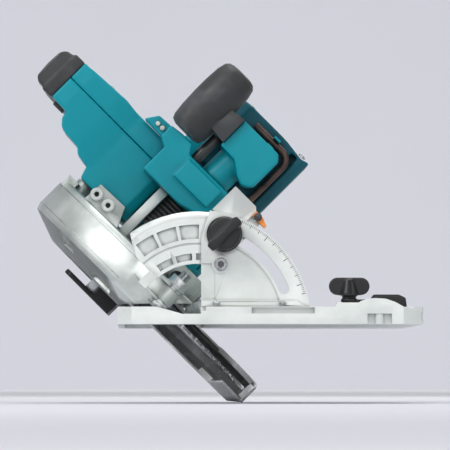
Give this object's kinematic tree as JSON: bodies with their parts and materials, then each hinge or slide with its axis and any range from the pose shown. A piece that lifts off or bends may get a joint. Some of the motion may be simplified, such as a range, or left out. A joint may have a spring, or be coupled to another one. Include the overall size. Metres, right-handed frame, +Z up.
{
  "type": "circular saw",
  "caption": "Cordless circular saw: teal motor and D handle, barrel front grip, silver blade case and guard, tilted to its full bevel over a flat cast base.",
  "frame": {"origin": "middle of the base seen from above, on the flat sole face that slides on the work", "axes": "+X across the saw towards the right seen from the front, +Y towards the back, +Z up from the sole"},
  "size_m": [0.2832, 0.32, 0.2632],
  "materials": {
    "cast_white": "satin cast magnesium, light grey",
    "cast_aluminium": "satin die-cast",
    "polished_aluminium": "bright, worn",
    "plated_steel": "zinc plated",
    "steel": "machined",
    "blade_steel": "ground steel with carbide teeth",
    "black_steel": "black oxide",
    "oiled_steel": "dark oiled steel",
    "teal_plastic": "moulded, satin",
    "deep_teal_plastic": "moulded, satin",
    "black_plastic": "moulded, satin",
    "battery_black": "moulded, fine grain",
    "red_plastic": "moulded",
    "grey_rubber": "soft overmould",
    "orange_plastic": "moulded",
    "copper_winding": "lacquered winding",
    "circuit_board": "board with potting",
    "clear_lens": "clear lens over a lamp"
  },
  "bodies": {
    "base": {"base_plate": "cast_white", "front_bevel_bracket": "cast_white", "bracket_screws": "steel", "bevel_stop_screw": "black_steel", "rear_bevel_bracket": "plated_steel", "fence_clamp_pad": "black_plastic"},
    "fence_bolt": {"fence_wing_bolt": "black_plastic"},
    "tilt_frame": {"bevel_quadrant": "cast_aluminium", "depth_pivot_bolt": "steel", "depth_pivot_nut": "plated_steel", "bevel_pointer": "orange_plastic", "pointer_screw": "black_steel", "bevel_clamp_bolt": "steel", "rear_tilt_plate": "plated_steel", "rear_clamp_bolt": "steel", "depth_guide": "plated_steel"},
    "bevel_knob": {"bevel_knob": "black_plastic"},
    "saw_head": {"blade_case": "cast_aluminium", "gear_housing": "cast_aluminium", "motor_housing": "teal_plastic", "motor_end_cover": "deep_teal_plastic", "front_cover": "teal_plastic", "grip_mount": "teal_plastic", "handle_left_shell": "teal_plastic", "handle_right_shell": "teal_plastic", "handle_grip": "grey_rubber", "front_grip_core": "black_plastic", "front_grip_rubber": "grey_rubber", "brace_bar": "cast_aluminium", "vent_grille": "black_plastic", "case_screws": "steel", "wrench_clip": "teal_plastic", "stator": "copper_winding", "rotor_bearings": "steel", "spindle_bearings": "steel", "switch_module": "black_plastic", "controller_board": "circuit_board", "work_lights": "clear_lens", "battery_terminals": "black_plastic", "trigger_pin": "steel"},
    "depth_lever": {"depth_lever": "black_plastic"},
    "trigger": {"trigger": "black_plastic"},
    "lock_off_button": {"lock_off_button": "black_plastic"},
    "spindle_lock_button": {"spindle_lock_button": "black_plastic"},
    "hex_wrench": {"hex_wrench": "oiled_steel"},
    "lower_guard": {"lower_guard": "polished_aluminium", "guard_lever": "plated_steel", "guard_lever_arm": "black_plastic"},
    "drive_spindle": {"blade": "blade_steel", "inner_flange": "steel", "outer_flange": "steel", "blade_bolt": "black_steel", "spindle": "steel", "spindle_gear": "steel"},
    "motor_rotor": {"rotor": "steel", "cooling_fan": "black_plastic"},
    "battery_left": {"battery_left": "battery_black"},
    "battery_right": {"battery_right": "battery_black"},
    "battery_left_latch": {"battery_left_latch": "red_plastic"},
    "battery_right_latch": {"battery_right_latch": "red_plastic"}
  },
  "joints": [
    {"name": "bevel_tilt", "type": "hinge", "parent": "base", "child": "tilt_frame", "pos_m": [-0.0535, 0, 0], "axis": [0, 1, 0], "range_deg": [0, 45]},
    {"name": "depth_hinge", "type": "hinge", "parent": "tilt_frame", "child": "saw_head", "pos_m": [-0.07507, -0.121, 0.02157], "axis": [0.7071, 0, 0.7071], "range_deg": [0, 22]},
    {"name": "blade_spin", "type": "hinge", "parent": "saw_head", "child": "drive_spindle", "pos_m": [-0.07825, 0, 0.02475], "axis": [0.7071, 0, 0.7071], "continuous": true},
    {"name": "rotor_spin", "type": "hinge", "parent": "saw_head", "child": "motor_rotor", "pos_m": [-0.09416, 0, 0.04066], "axis": [0.7071, 0, 0.7071], "continuous": true},
    {"name": "guard_retract", "type": "hinge", "parent": "saw_head", "child": "lower_guard", "pos_m": [-0.07825, 0, 0.02475], "axis": [0.7071, 0, 0.7071], "range_deg": [0, 115], "stiffness_Nm_per_rad": 0.25, "springref_deg": -51.57},
    {"name": "trigger_pull", "type": "hinge", "parent": "saw_head", "child": "trigger", "pos_m": [-0.12916, 0.009, 0.16758], "axis": [0.7071, 0, 0.7071], "range_deg": [0, 8], "stiffness_Nm_per_rad": 1.5, "springref_deg": -6.88},
    {"name": "lock_off_press", "type": "slide", "parent": "saw_head", "child": "lock_off_button", "axis": [0.7071, 0, 0.7071], "range_m": [0, 0.003], "stiffness_N_per_m": 600, "springref_m": -0.002},
    {"name": "spindle_lock_press", "type": "slide", "parent": "saw_head", "child": "spindle_lock_button", "axis": [0, 1, 0], "range_m": [0, 0.002], "stiffness_N_per_m": 800, "springref_m": -0.002},
    {"name": "depth_lever_turn", "type": "hinge", "parent": "saw_head", "child": "depth_lever", "pos_m": [-0.06404, 0.12, 0.0326], "axis": [0.7071, 0, 0.7071], "range_deg": [0, 30]},
    {"name": "bevel_knob_turn", "type": "hinge", "parent": "tilt_frame", "child": "bevel_knob", "pos_m": [-0.03362, -0.155, 0.06503], "axis": [0, 1, 0], "range_deg": [0, 90]},
    {"name": "fence_bolt_turn", "type": "hinge", "parent": "base", "child": "fence_bolt", "pos_m": [0.0573, -0.14225, 0.02], "axis": [0, 0, 1], "range_deg": [0, 180]},
    {"name": "wrench_slide", "type": "slide", "parent": "saw_head", "child": "hex_wrench", "axis": [0, -1, 0], "range_m": [0, 0.03]},
    {"name": "battery_left_slide", "type": "slide", "parent": "saw_head", "child": "battery_left", "axis": [0, 1, 0], "range_m": [0, 0.1]},
    {"name": "battery_right_slide", "type": "slide", "parent": "saw_head", "child": "battery_right", "axis": [0, 1, 0], "range_m": [0, 0.1]},
    {"name": "battery_left_latch_press", "type": "slide", "parent": "battery_left", "child": "battery_left_latch", "axis": [0, -1, 0], "range_m": [0, 0.004], "stiffness_N_per_m": 500, "springref_m": -0.002},
    {"name": "battery_right_latch_press", "type": "slide", "parent": "battery_right", "child": "battery_right_latch", "axis": [0, -1, 0], "range_m": [0, 0.004], "stiffness_N_per_m": 500, "springref_m": -0.002}
  ],
  "couplings": [
    {"joint": "rotor_spin", "follows": "blade_spin", "ratio": -4}
  ]
}
